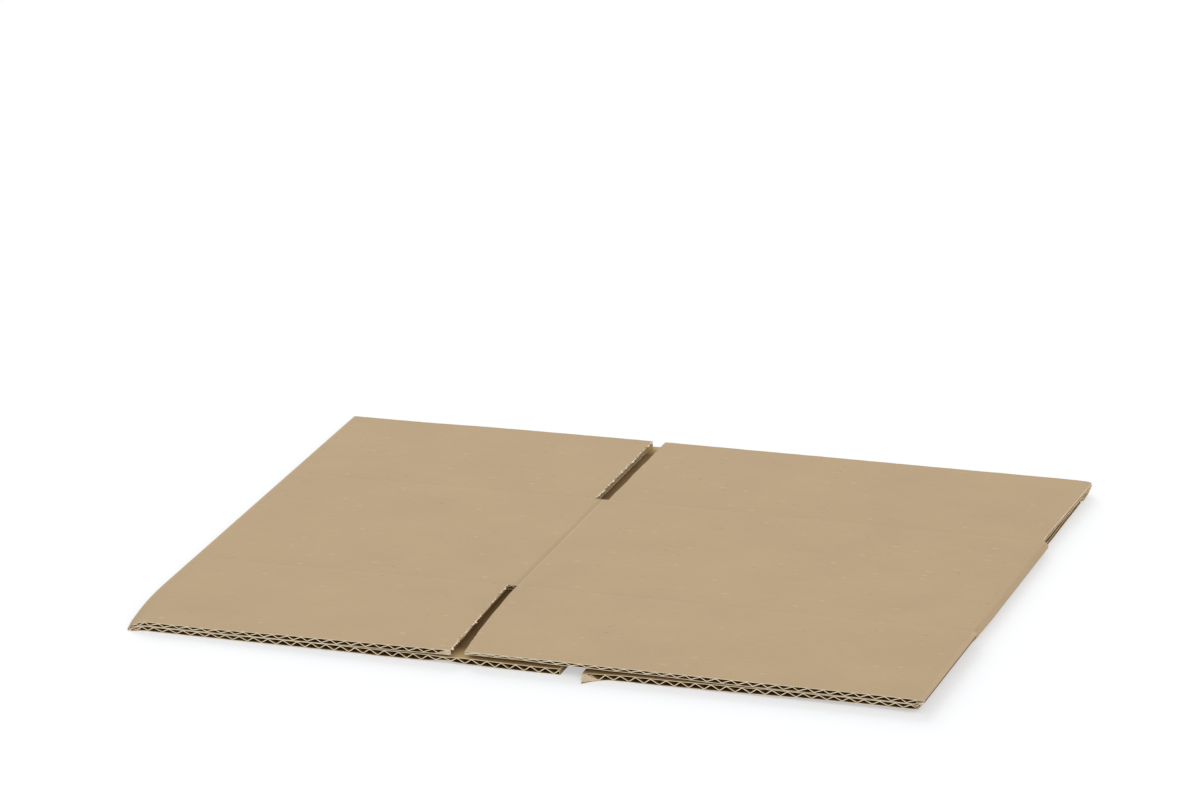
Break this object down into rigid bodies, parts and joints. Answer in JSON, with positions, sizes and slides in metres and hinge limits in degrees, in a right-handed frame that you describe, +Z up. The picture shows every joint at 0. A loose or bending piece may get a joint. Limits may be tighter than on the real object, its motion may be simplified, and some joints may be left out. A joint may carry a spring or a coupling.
{
  "type": "flattened cardboard box",
  "caption": "Slotted corrugated carton folded flat for storage: a sheet of fluted board in two layers, joined along both side folds, with flaps parted by slots.",
  "frame": {"origin": "on the floor, under the middle of the flat carton", "axes": "+X along the front edge to the right fold, +Y to the back flaps, +Z up from the floor"},
  "size_m": [0.351, 0.252, 0.0061],
  "materials": {
    "kraft_board": "matt brown kraft paper"
  },
  "bodies": {
    "root": {"flattened_carton": "kraft_board"}
  },
  "joints": []
}
